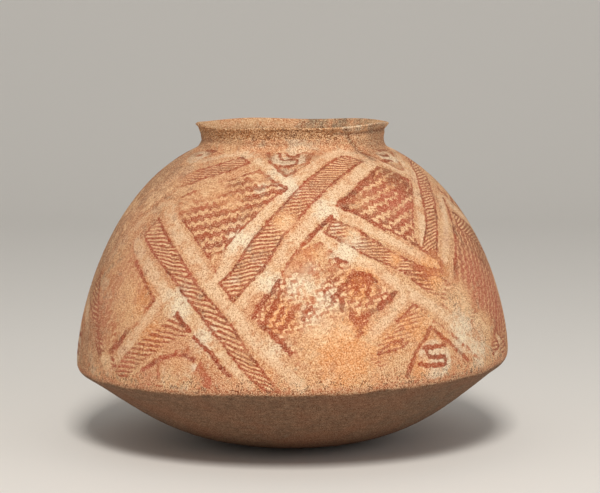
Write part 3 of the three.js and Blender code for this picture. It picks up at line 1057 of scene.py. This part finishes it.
# The paint on rows of the outer face, as one array for each thing that the finish reads
def paintRows(rises):
    profile = alongFace(outer, rises + shoulderEnd)
    radius = profile[:, :1]
    fields = blankFields((len(rises), len(columnAngles)))
    size, slowness, *seeds = brush["wobble"]
    place = carriedRound(radius, profile[:, 1:2])
    wobbleRound, wobbleRise = [size * (lumps(place, slowness, seed) - 0.5) for seed in seeds]

    # The parts of these rows near a line, one for each copy of the design that has it: the area, and its
    # degrees, rises and radii, moved as the brush wobbled
    def nearCopies(line, margin, turns=copies):
        for turn in turns:
            found = areaOf(line, rises, margin, turn)
            if found:
                area, degrees = found
                reach = radius[area[0][:, 0]]
                wobbled = degrees + np.degrees(wobbleRound[area] / reach)
                yield area, wobbled, rises[area[0]] + wobbleRise[area], reach

    def join(how, name, area, values):
        fields[name][area] = how(fields[name][area], values)

    def addStroke(area, edge, strength, fringe=0):
        fields["paintLeft"][area] = np.where(edge < fringe, strength, fields["paintLeft"][area])
        join(np.minimum, "strokeEdge", area, edge)

    def paintPanel(shape, count, share, gapPale):
        outline = outlineOf(shape["sides"])
        turns = shape.get("copies", copies)
        for area, degrees, rise, reach in nearCopies(outline, brush["margin"], turns):
            depth = depthIn(outline, degrees, rise, reach)
            nearer = depth > fields["panelInside"][area]
            values = {
                "panelInside": depth,
                "hatchCount": count(shape, degrees, rise, reach),
                "hatchShare": shape.get("share", share),
                "gapPale": shape.get("gapPale", gapPale),
                "paintLeft": shape.get("strength", 1),
            }
            for name, value in values.items():
                fields[name][area] = np.where(nearer, value, fields[name][area])
            if "border" in shape:
                half = shape["border"] / 2
                join(np.minimum, "strokeEdge", area, np.abs(depth - half) - half)

    for shape in [*bars.values(), *hatchedCorners.values()]:
        paintPanel(shape, hatchCount, brush["hatchShare"], brush["hatchGapPale"])
    for shape in wavyPanels.values():
        paintPanel(shape, waveCount, brush["waveShare"], brush["waveGapPale"])
    for shape in fills.values():
        outline = outlineOf(shape["sides"])
        for area, *spot in nearCopies(outline, brush["margin"]):
            addStroke(area, -depthIn(outline, *spot), shape["strength"])
    for (turnOf, riseOf), width, height, pale in reserves.values():
        for area, degrees, rise, reach in nearCopies([(turnOf, riseOf)], width + brush["margin"]):
            oval = np.hypot(np.radians(degrees - turnOf) * reach / width, (rise - riseOf) / height)
            depth = (1 - oval) * min(width, height)
            join(np.maximum, "strokeEdge", area, depth)
            join(np.minimum, "panelInside", area, -depth)
            join(np.maximum, "cleanAndLipHighlight", area, pale * smoothStep(depth, *brush["reserveEdge"]))
    for places, width, strength, *chosen in [*strokes.values(), *dabs]:
        line = brushed(places)
        for area, *spot in nearCopies(line, brush["margin"], chosen or copies):
            addStroke(area, distanceTo(line, *spot) - width / 2, strength, brush["fringe"])
    for places, width, *chosen in paleBands.values():
        line = brushed(places)
        for area, *spot in nearCopies(line, width, chosen or copies):
            join(np.maximum, "bandInside", area, width / 2 - distanceTo(line, *spot))
    for name, spots in patches.items():
        for turnOf, riseOf, size, amount in spots:
            middle = [(turnOf, riseOf)] * 2
            addFading(fields[name], np.maximum, middle, size, amount, rises, radius, brush["patchReach"])
    fields["slipRise"][:] = rises[:, None]
    rough = np.maximum(coarseness(rises), brush["lumpyDots"] * lumpiness(rises))
    fields["coarse"] = np.maximum(fields["coarse"], rough)
    # Painted shade in the grooves, by their depth, and the crack's real stain
    fields["crack"] = brush["grooveShade"] * (grooveDepth(rises, "ledge") + grooveDepth(rises, "underLip"))
    stainWidth = brush["crackSpread"] * relief["crackWidth"]
    addFading(fields["crack"], np.maximum, relief["crack"], stainWidth, 1, rises, radius)
    return fields


# How the rows are laid flat for a baked finish: strips of the jar's girth, one above the other
layout = {
    "hiddenShare": 0.3,  # the size of the inner face and the joints, against the outer face
    "hiddenDepth": 200,  # joints are coloured as deep inside as this
    "gutter": 0.02,
    "tipShare": 0.8,  # how far into the gutter a fan's tip reaches
    "counts": (1, 2, 3, 4, 5, 6, 8, 9, 10, 12),
}


# Everything the finish reads, for the rows of one stretch
def stretchFields(stretch):
    rises, depths = stretch["rises"], stretch["depths"]
    fields = blankFields(stretch["points"].shape[:2]) if rises is None else paintRows(rises)
    if depths is not None:
        fields["depthInside"][:] = depths[:, None]
    elif rises is None:
        fields["depthInside"][:] = layout["hiddenDepth"]
    return fields


# Loop places in the layout. Rows are spaced by their length, and columns are cut into near-square strips
def layoutPlaces(points, stretches, closed):
    girth = np.linalg.norm(points[:, 1:] - points[:, :-1], axis=-1).sum(axis=1).max()
    following = np.roll(points, -1, axis=0) if closed else points[1:]
    steps = np.linalg.norm(following - points[:len(following)], axis=-1).mean(axis=1)
    outside = np.concatenate([np.full(len(s["points"]), s["rises"] is not None) for s in stretches])
    steps = steps * np.where(outside[:len(steps)], 1, layout["hiddenShare"])
    height = steps.sum()
    rows = np.r_[0, np.cumsum(steps)] / height
    count = min(layout["counts"], key=lambda n: abs(math.log(girth / n / (height * n))))
    perStrip = mesh["columns"] // count
    column = np.arange(mesh["columns"])
    strip = column // perStrip
    gutter = layout["gutter"]
    used = 1 - 2 * gutter
    low = (strip[None, :] + gutter + used * rows[:-1, None]) / count
    high = (strip[None, :] + gutter + used * rows[1:, None]) / count
    left = np.broadcast_to(gutter + used * (column % perStrip) / perStrip, low.shape)
    right = np.broadcast_to(gutter + used * (column % perStrip + 1) / perStrip, low.shape)
    corners = [(left, low), (right, low), (right, high), (left, high)]
    quadPlaces = np.stack([np.stack(corner, -1) for corner in corners], 2).reshape(-1, 2)
    if closed:
        return quadPlaces
    # The two fans lie in the gutters beside the first and the last row
    middle = (left[0] + right[0]) / 2
    tip = gutter * layout["tipShare"] / count
    lowFan = [(middle, low[0] - tip), (right[0], low[0]), (left[0], low[0])]
    highFan = [(middle, high[-1] + tip), (left[0], high[-1]), (right[0], high[-1])]
    fans = [np.stack([np.stack(corner, -1) for corner in fan], 1) for fan in (lowFan, highFan)]
    return np.concatenate([quadPlaces, *[places.reshape(-1, 2) for places in fans]])


# A quad's corner takes its row's normal where both of its rows belong to one smooth stretch
def cornerNormals(stretches, row, above):
    normals = np.concatenate([stretch["normals"] for stretch in stretches])
    owner = np.concatenate([np.full(len(stretch["points"]), i) for i, stretch in enumerate(stretches)])
    same = (owner[row] == owner[above])[:, None, None]
    lower = normals[row] * same
    upper = normals[above] * same
    corners = [lower, np.roll(lower, -1, axis=1), np.roll(upper, -1, axis=1), upper]
    return np.stack(corners, 2).reshape(-1, 3)


# Blender keeps faces as one run of corners: here the quads' first, then the triangles'
def fillMesh(data, vertices, quads, triangles):
    corners = np.concatenate([quads.ravel(), triangles.ravel()])
    starts = np.concatenate([np.arange(len(quads)) * 4, quads.size + np.arange(len(triangles)) * 3])
    data.vertices.add(len(vertices))
    data.vertices.foreach_set("co", (vertices * millimetre).ravel())
    data.loops.add(len(corners))
    data.loops.foreach_set("vertex_index", corners)
    data.polygons.add(len(starts))
    data.polygons.foreach_set("loop_start", starts)
    data.update(calc_edges=True)


# One piece: quads between neighbouring rows all round the jar, and a fan at each end that lies on the axis
def makePiece(name, node, stretches, closed=True):
    points = np.concatenate([stretch["points"] for stretch in stretches])
    vertices = points.reshape(-1, 3)
    count, columns = points.shape[:2]
    row = np.arange(count if closed else count - 1)
    above = (row + 1) % count
    ring = np.arange(columns)
    beside = (ring + 1) % columns
    low = row[:, None] * columns
    high = above[:, None] * columns
    quads = np.stack([low + ring, low + beside, high + beside, high + ring], -1).reshape(-1, 4)
    triangles = np.zeros((0, 3), int)
    normals = cornerNormals(stretches, row, above)
    painted = [stretchFields(stretch) for stretch in stretches]
    fields = {field: np.concatenate([part[field] for part in painted]).ravel() for field in unpainted}
    if not closed:
        bottom, top = len(vertices), len(vertices) + 1
        last = bottom - columns
        lowFan = np.stack([ring * 0 + bottom, beside, ring], -1)
        highFan = np.stack([ring * 0 + top, last + ring, last + beside], -1)
        triangles = np.concatenate([lowFan, highFan])
        vertices = np.concatenate([vertices, [[0, 0, points[0, 0, 2]], [0, 0, points[-1, 0, 2]]]])
        fields = {field: np.r_[values, values[0], values[-1]] for field, values in fields.items()}
        normals = np.concatenate([normals, np.zeros((triangles.size, 3))])
    data = bpy.data.meshes.new(name)
    fillMesh(data, vertices, quads, triangles)
    for field, values in fields.items():
        data.attributes.new(field, "FLOAT", "POINT").data.foreach_set("value", values.astype(np.float32))
    places = layoutPlaces(points, stretches, closed)
    data.uv_layers.new(name="OFBake").data.foreach_set("uv", places.ravel())
    data.normals_split_custom_set(normals)
    data.materials.append(clay)
    made = bpy.data.objects.new(name, data)
    bpy.context.scene.collection.objects.link(made)
    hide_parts(node)
    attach(made, "root")
    print(name, "made,", len(data.polygons), "faces")


# Colours as the eye sees them, 0 to 255, turned into the shader's linear ones
def tone(red, green, blue):
    seen = np.array([red, green, blue]) / 255
    linear = np.where(seen < 0.04045, seen / 12.92, ((seen + 0.055) / 1.055) ** 2.4)
    return (*linear, 1)


# The finish: slip, paint and bare clay
finish = {
    # Pale and clean slip, which also make the painted highlight along the lip
    "slipPaleAndHighlight": tone(246, 212, 174),
    "slipCleanAndHighlight": tone(251, 240, 212),
    "ground": tone(220, 158, 114),
    "groundLight": tone(228, 180, 134),
    "panelGround": tone(232, 180, 132),
    "gap": tone(254, 218, 172),
    "orange": tone(242, 164, 96),
    "brown": tone(164, 111, 76),
    "red": tone(196, 116, 82),
    "paintRed": tone(176, 76, 42),
    "paintDark": tone(132, 54, 24),
    "paintThin": tone(210, 110, 54),
    "paintOrange": tone(190, 86, 30),
    "paintRose": tone(192, 92, 66),
    "paintBrown": tone(134, 82, 46),
    "speck": tone(186, 138, 106),
    "pit": tone(140, 96, 74),
    # Light grains, and the light dots of the rough band and lumpy lip, which are partly painted highlight
    "grit": tone(255, 228, 188),
    # Bare clay, darker than its own colour, partly as painted shade on the base that faces down
    "bareLight": tone(146, 112, 86),
    "bareDark": tone(112, 83, 63),
    "bareRed": tone(140, 94, 68),
    "soot": tone(112, 98, 82),
    "insideClay": tone(192, 150, 110),
    "coarseClay": tone(196, 138, 86),
    # Dark clay: the crack's stain, painted shade in the grooves and between lumps, and the darkening at the
    # slip's end
    "darkClay": tone(124, 72, 44),
    # Noises on the clay: size in millimetres, detail, roughness
    "noises": {"grain": (1, 3, 0.6), "dab": (4.2, 2, 0.5), "blotch": (11, 3, 0.55), "cloud": (38, 2, 0.5)},
    "streak": (2.2, 3, 0.6),
    "streakLevel": (0.22, 0.22, 1),  # streaks are drawn out round the jar, not up it
    # Patches on the slip, stains and also painted shade and highlight: their field, tone and strength
    "stainsAndPaintedLight": (
        ("cleanAndLipHighlight", "slipCleanAndHighlight", 0.92),
        ("orange", "orange", 0.88),
        ("red", "red", 0.7),
        ("brown", "brown", 0.8),
    ),
    "frayBelow": 1.14,  # paint frays by how far its strength is below this
    "strokeFray": 2.2,  # millimetres that this moves a stroke's edge
    "fillingStrength": (0.9, 1),  # of the paint between dark gaps, and between pale ones
    "paintHold": 0.76,  # how well whole paint holds against wear
    "rubbedBelow": 4.5,  # millimetres from the shoulder's edge down to the middle of the rubbed line
    "darkGrain": (0.49, 7),  # the noise above which grains darken, and how steeply
    "lightGrain": (0.7, -0.35, 0.16),  # strength of light grains: what slip adds, what paint adds, the rest
    "pitSpacing": 7.5,  # millimetres
    "slipRoughness": 0.9,
    "paintRoughness": 0.82,
    "shine": 0.25,
    "bumpDepth": 0.001,  # metres
    "bumpStrength": 0.85,
    "paintRise": 0.12,  # share of the bumps' depth, as the next is
    "pitRise": -0.4,
}

# Where each part of the finish begins and where it is full
levels = {
    # By millimetres from an edge, or in depth
    "line": (0.6, -0.6),
    "panel": (-0.4, 1),
    "band": (-2, 2),
    "slip": (-9.5, -6.5),
    "rubbed": (6, 0.5),
    "edgeDarkening": (-4.5, -8),
    "lowDarkening": (17, 1),
    "inside": (6, 22),
    # By a share or a noise, 0 to 1
    "filling": (0.14, -0.14),
    "blurred": (0.46, 0.64),
    "paintLeft": (-0.14, 0.12),
    "paused": (0.4, 0.7),
    "thinPaint": (0.85, 0.35),
    "rosePaint": (0.1, 0.6),
    "lightGround": (0.36, 0.66),
    "paleGap": (0.56, 0.42),
    "brokenBand": (0.28, 0.56),
    "patch": (0.12, 0.95),
    "darkenedGrain": (0.52, 0.6),
    "lightGrain": (0.52, 0.31),
    "coarseClay": (0.75, 1),
    "coarseDark": (0.51, 0.58),
    "coarseLight": (0.46, 0.38),
    "bareLight": (0.34, 0.68),
    "bareRed": (0.42, 0.66),
    "insideBrown": (0.3, 0.7),
    "pit": (0.1, 0.055),
    "pittedCell": (0.82, 0.86),
}

# How strongly each part covers what lies under it, 0 to 1
covering = {
    "paint": 0.96,
    "orangePaint": 0.6,
    "brownPaint": 0.7,
    "blurred": 0.3,
    "gaps": 0.75,
    "wornBand": 0.75,
    "patch": 0.9,
    "soot": 0.85,
    "rubbed": 0.45,
    "edgeDarkening": 0.55,
    "lowDarkening": 0.75,
    "coarseClay": 0.8,
    "coarseDark": 0.95,
    "coarseLight": 0.7,
    # of the crack's stain and of the painted shade in the grooves
    "crack": 0.85,
    "bareRed": 0.5,
    "pit": 0.8,
}


def addNode(tree, kind, inputs=(), **settings):
    node = tree.nodes.new(kind)
    for name, value in settings.items():
        setattr(node, name, value)
    for key, value in dict(inputs).items():
        if isinstance(value, bpy.types.NodeSocket):
            tree.links.new(value, node.inputs[key])
        else:
            node.inputs[key].default_value = value
    return node


# A node in the tree that its inputs' sockets already belong to
def followOn(kind, inputs, **settings):
    inputs = dict(inputs)
    tree = next(value.id_data for value in inputs.values() if isinstance(value, bpy.types.NodeSocket))
    return addNode(tree, kind, inputs, **settings)


def maths(operation, *values):
    return followOn("ShaderNodeMath", enumerate(values), operation=operation).outputs[0]


def minus(first, second):
    return maths("SUBTRACT", first, second)


def plus(*values):
    return reduce(lambda total, value: maths("ADD", total, value), values)


def times(*values):
    return reduce(lambda total, value: maths("MULTIPLY", total, value), values)


# A smooth step of a value: 0 at low, 1 at high
def between(value, low, high):
    inputs = {"Value": value, "From Min": low, "From Max": high}
    return followOn("ShaderNodeMapRange", inputs, interpolation_type="SMOOTHSTEP").outputs["Result"]


# Two colours mixed. Sockets 0, 6 and 7 of the node are the share and the two colours
def mixed(share, first, second, how="MIX"):
    inputs = {0: share, 6: first, 7: second}
    return followOn("ShaderNodeMix", inputs, data_type="RGBA", blend_type=how).outputs[2]


# Noise on the clay itself, with lumps of a size in millimetres
def noiseAt(place, size, detail, rough):
    inputs = {"Vector": place, "Scale": 1 / (size * millimetre), "Detail": detail, "Roughness": rough}
    return followOn("ShaderNodeTexNoise", inputs).outputs["Fac"]


# Noises centred on 0 and scaled, to be added to a value
def uneven(noise, **sizes):
    return [times(minus(noise[name], 0.5), size) for name, size in sizes.items()]


# Noises added up, each by its share
def blended(noise, **shares):
    return plus(*[times(noise[name], share) for name, share in shares.items()])


# How far a value has come, 0 to 1, from where a part of the finish begins to where it is full
def levelOf(name, value):
    return between(value, *levels[name])


# A patch with a broken edge
def patchy(field, noise):
    return times(levelOf("patch", plus(field, *uneven(noise, blotch=1.5, dab=0.9))), covering["patch"])


# How much paint covers a place: the brush strokes, and the filling of the panels
def coverOf(fields, noise, inPanel):
    frayed = times(minus(finish["frayBelow"], fields["paintLeft"]), plus(*uneven(noise, dab=4, blotch=2.5)))
    ragged = plus(*uneven(noise, grain=3, dab=4.6), times(frayed, finish["strokeFray"]))
    line = levelOf("line", plus(fields["strokeEdge"], ragged))
    # In each count of the filling the stripe rises evenly from 0 to 1 and falls back
    drift = plus(fields["hatchCount"], *uneven(noise, blotch=1.1, dab=0.3))
    stripe = times(maths("PINGPONG", drift, 0.5), 2)
    broken = plus(stripe, *uneven(noise, grain=0.4), frayed)
    filling = levelOf("filling", minus(broken, fields["hatchShare"]))
    cloudy = levelOf("blurred", plus(noise["blotch"], *uneven(noise, cloud=0.5)))
    blurred = times(cloudy, covering["blurred"])
    filling = plus(times(filling, minus(1, blurred)), times(fields["hatchShare"], blurred))
    overDark, overPale = finish["fillingStrength"]
    whole = plus(times(fields["gapPale"], overPale - overDark), overDark)
    return maths("MAXIMUM", line, times(filling, inPanel, whole))


# The slip's colour: pale in the bands, redder ground between them, and stained in patches. Some brown
# patches are painted shade, and the pale lip band and the clean spots on the lip are a painted highlight
def slipColour(fields, noise, inPanel):
    lightShare = levelOf("lightGround", plus(noise["cloud"], *uneven(noise, dab=0.6)))
    ground = mixed(lightShare, finish["ground"], finish["groundLight"])
    cloudy = levelOf("paleGap", plus(noise["blotch"], *uneven(noise, cloud=0.9)))
    gaps = mixed(times(fields["gapPale"], cloudy), finish["panelGround"], finish["gap"])
    ground = mixed(times(inPanel, covering["gaps"]), ground, gaps)
    band = levelOf("band", plus(fields["bandInside"], *uneven(noise, dab=4.5, grain=3)))
    unworn = minus(1, times(fields["worn"], covering["wornBand"]))
    broken = levelOf("brokenBand", plus(noise["blotch"], *uneven(noise, grain=0.6, dab=0.4)))
    slip = mixed(times(band, unworn, broken, minus(1, inPanel)), ground, finish["slipPaleAndHighlight"])
    for field, toneName, strength in finish["stainsAndPaintedLight"]:
        slip = mixed(times(patchy(fields[field], noise), strength), slip, finish[toneName])
    return slip


# The paint's colour: thin and orange where it is worn, dark where the brush paused, and browner under the
# brown patches, which in places are painted shade
def paintColour(fields, noise, keep):
    paused = levelOf("paused", plus(noise["blotch"], *uneven(noise, grain=0.4)))
    colour = mixed(paused, finish["paintRed"], finish["paintDark"])
    colour = mixed(levelOf("thinPaint", keep), colour, finish["paintThin"])
    colour = mixed(times(fields["orange"], covering["orangePaint"]), colour, finish["paintOrange"])
    colour = mixed(levelOf("rosePaint", fields["red"]), colour, finish["paintRose"])
    return mixed(times(fields["brown"], covering["brownPaint"]), colour, finish["paintBrown"])


# The slip is rubbed through along the shoulder's edge. Its end is darker, and so are the grains above it,
# more towards the edge
def rubEdge(colour, fields, noise, slipEdge):
    rubbed = levelOf("rubbed", maths("ABSOLUTE", plus(slipEdge, finish["rubbedBelow"])))
    colour = mixed(times(rubbed, covering["rubbed"]), colour, finish["red"])
    colour = mixed(times(levelOf("edgeDarkening", slipEdge), covering["edgeDarkening"]), colour, finish["darkClay"])
    low = levelOf("lowDarkening", plus(fields["slipRise"], *uneven(noise, blotch=22)))
    lowDark = times(low, levelOf("darkenedGrain", blended(noise, grain=0.5, dab=0.5)))
    return mixed(times(lowDark, covering["lowDarkening"]), colour, finish["darkClay"])


# The rough band under the lip, in dark and light dots that are partly grains and partly painted shade and
# highlight on its lumps, as on the lumpy lip; and the crack's stain with the painted shade in the grooves
def roughen(colour, fields, noise):
    coarse = fields["coarse"]
    fine = blended(noise, grain=0.75, dab=0.25)
    clayShare = times(levelOf("coarseClay", coarse), covering["coarseClay"])
    colour = mixed(clayShare, colour, finish["coarseClay"])
    dark = times(coarse, levelOf("coarseDark", fine), covering["coarseDark"])
    light = times(coarse, levelOf("coarseLight", fine), covering["coarseLight"])
    colour = mixed(light, mixed(dark, colour, finish["darkClay"]), finish["grit"])
    return mixed(times(fields["crack"], covering["crack"]), colour, finish["darkClay"])


# Bare clay, streaked by the scraper. Its tones are darker than the clay's own, partly as painted shade on
# the base that faces down
def bareColour(noise):
    lightShare = levelOf("bareLight", blended(noise, streak=0.5, dab=0.5))
    bare = mixed(lightShare, finish["bareDark"], finish["bareLight"])
    return mixed(times(levelOf("bareRed", noise["cloud"]), covering["bareRed"]), bare, finish["bareRed"])


# Dark and light mineral grains all over
def addGrains(colour, noise, slipped, paint):
    start, steepness = finish["darkGrain"]
    darkShare = times(minus(noise["grain"], start), steepness)
    darkShare = maths("MINIMUM", maths("MAXIMUM", darkShare, 0), 1)
    colour = mixed(darkShare, colour, finish["speck"], "MULTIPLY")
    onSlip, onPaint, rest = finish["lightGrain"]
    lightShare = plus(times(slipped, onSlip), times(paint, onPaint), rest)
    return mixed(times(levelOf("lightGrain", noise["grain"]), lightShare), colour, finish["grit"])


# Small dark pits: the middles of some cells
def pitsOf(place, noise):
    inputs = {"Vector": place, "Scale": 1 / (finish["pitSpacing"] * millimetre)}
    cells = followOn("ShaderNodeTexVoronoi", inputs)
    middle = levelOf("pit", plus(cells.outputs["Distance"], *uneven(noise, dab=0.12)))
    cellTone = followOn("ShaderNodeSeparateColor", {0: cells.outputs["Color"]}).outputs[0]
    return times(middle, levelOf("pittedCell", cellTone))


# Slip and paint over bare clay. All of it follows the clay's own coordinates and the painted fields
def makeClay(name):
    material = bpy.data.materials.new(name)
    material.use_nodes = True
    tree = material.node_tree
    tree.nodes.clear()
    place = addNode(tree, "ShaderNodeTexCoord").outputs["Object"]
    fields = {}
    for field in unpainted:
        fields[field] = addNode(tree, "ShaderNodeAttribute", attribute_name=field).outputs["Fac"]
    noise = {kind: noiseAt(place, *settings) for kind, settings in finish["noises"].items()}
    level = followOn("ShaderNodeMapping", {"Vector": place, "Scale": finish["streakLevel"]}).outputs[0]
    noise["streak"] = noiseAt(level, *finish["streak"])

    # Worn paint stays in grains and dabs
    inPanel = levelOf("panel", plus(fields["panelInside"], *uneven(noise, dab=1.6)))
    keep = times(fields["paintLeft"], minus(1, fields["worn"]))
    wear = blended(noise, grain=0.5, blotch=0.3, dab=0.2)
    left = levelOf("paintLeft", minus(times(keep, finish["paintHold"]), wear))
    paint = times(coverOf(fields, noise, inPanel), left)
    slip = slipColour(fields, noise, inPanel)
    colour = mixed(times(paint, covering["paint"]), slip, paintColour(fields, noise, keep))

    # The slip ends a little below the shoulder's edge, and some way down inside the lip
    edgeNoise = plus(*uneven(noise, cloud=8, dab=5, grain=2))
    slipEdge = plus(fields["slipRise"], edgeNoise)
    slipped = levelOf("slip", slipEdge)
    colour = roughen(rubEdge(colour, fields, noise, slipEdge), fields, noise)
    insideTone = mixed(levelOf("insideBrown", noise["blotch"]), finish["insideClay"], finish["brown"])
    colour = mixed(levelOf("inside", plus(fields["depthInside"], edgeNoise)), colour, insideTone)
    colour = mixed(minus(1, slipped), colour, bareColour(noise))
    colour = mixed(times(patchy(fields["sooty"], noise), covering["soot"]), colour, finish["soot"])
    colour = addGrains(colour, noise, slipped, paint)
    pit = pitsOf(place, noise)
    colour = mixed(times(pit, covering["pit"]), colour, finish["pit"], "MULTIPLY")

    matt = {"Value": paint, "To Min": finish["slipRoughness"], "To Max": finish["paintRoughness"]}
    roughness = plus(followOn("ShaderNodeMapRange", matt).outputs["Result"], *uneven(noise, blotch=0.1))
    coats = [times(paint, finish["paintRise"]), times(pit, finish["pitRise"])]
    height = plus(blended(noise, grain=0.8, dab=0.5), *coats, times(minus(1, slipped), noise["streak"]))
    bumps = {"Height": height, "Distance": finish["bumpDepth"], "Strength": finish["bumpStrength"]}
    shader = followOn("ShaderNodeBsdfPrincipled", {
        "Base Color": colour,
        "Roughness": roughness,
        "Normal": followOn("ShaderNodeBump", bumps).outputs[0],
        "Specular IOR Level": finish["shine"],
    })
    followOn("ShaderNodeOutputMaterial", {"Surface": shader.outputs[0]})
    return material


clay = makeClay("slipped_painted_clay")
print("finish mixed")

joints = [
    outer["ends"][1] - shoulderEnd - coils["shoulderBelow"],
    *np.linspace(coils["shoulderAbove"], wallTop - coils["neckBelow"], coils["wallCoils"] + 1),
    lipTop - coils["rimLength"],
]
makePiece("jar_base", "base_bowl", baseStretches(joints[0]), closed=False)
makePiece("jar_shoulder", "shoulder_coil", coilStretches(joints[0], joints[1]))
for i in range(1, coils["wallCoils"] + 1):
    makePiece(f"jar_wall_{i}", f"wall_coil_{i}", coilStretches(joints[i], joints[i + 1]))
makePiece("jar_neck", "neck_coil", coilStretches(joints[-2], joints[-1]))
makePiece("jar_rim", "rim_coil", rimStretches(joints[-1]))

# The studio: a pale floor that sweeps up behind the jar, in metres
studio = {
    "halfWidth": 5,
    "front": -4,
    "back": 2.2,
    "sweep": 1.6,  # radius of the curve from the floor up
    "sweepSteps": 24,
    "height": 5,
    "tone": tone(236, 234, 230),
    "roughness": 0.9,
    "worldTone": tone(255, 252, 248),
    "worldStrength": 0.33,
    "lamps": {
        "key": {"place": (0.05, -2.4, 2.7), "size": 0.9, "power": 86, "tone": tone(255, 250, 243)},
        "fill": {"place": (2.4, -1.6, 1.2), "size": 1.6, "power": 6, "tone": tone(247, 249, 255)},
    },
    "aim": (0, 0, 0.17),
}


# The floor's profile, a level, a quarter circle and an upright, carried from left to right
def makeFloor():
    angle = np.linspace(0, math.pi / 2, studio["sweepSteps"])
    farthest = studio["back"] + studio["sweep"]
    away = np.r_[studio["front"], studio["back"] + studio["sweep"] * np.sin(angle), farthest]
    up = np.r_[0, studio["sweep"] * (1 - np.cos(angle)), studio["height"]]
    left = np.stack([away * 0 - studio["halfWidth"], away, up], -1)
    right = left * (-1, 1, 1)
    count = len(away)
    faces = [(i, count + i, count + i + 1, i + 1) for i in range(count - 1)]
    data = bpy.data.meshes.new("floor")
    data.from_pydata(np.concatenate([left, right]).tolist(), [], faces)
    data.shade_smooth()
    floor = bpy.data.objects.new("floor", data)
    bpy.context.scene.collection.objects.link(floor)
    material = bpy.data.materials.new("pale_floor")
    material.use_nodes = True
    shader = material.node_tree.nodes["Principled BSDF"]
    shader.inputs["Base Color"].default_value = studio["tone"]
    shader.inputs["Roughness"].default_value = studio["roughness"]
    data.materials.append(material)


def makeLamp(name, settings):
    data = bpy.data.lights.new(name, "AREA")
    data.size = settings["size"]
    data.energy = settings["power"]
    data.color = settings["tone"][:3]
    lamp = bpy.data.objects.new(name, data)
    lamp.location = settings["place"]
    away = lamp.location - type(lamp.location)(studio["aim"])
    lamp.rotation_euler = away.to_track_quat("Z", "Y").to_euler()
    bpy.context.scene.collection.objects.link(lamp)


def makeWorld():
    world = bpy.data.worlds.new("studio")
    world.use_nodes = True
    background = world.node_tree.nodes["Background"]
    background.inputs["Color"].default_value = studio["worldTone"]
    background.inputs["Strength"].default_value = studio["worldStrength"]
    bpy.context.scene.world = world


makeFloor()
for name, settings in studio["lamps"].items():
    makeLamp(name, settings)
makeWorld()
bpy.context.scene.view_settings.view_transform = "Standard"
print("studio lit")
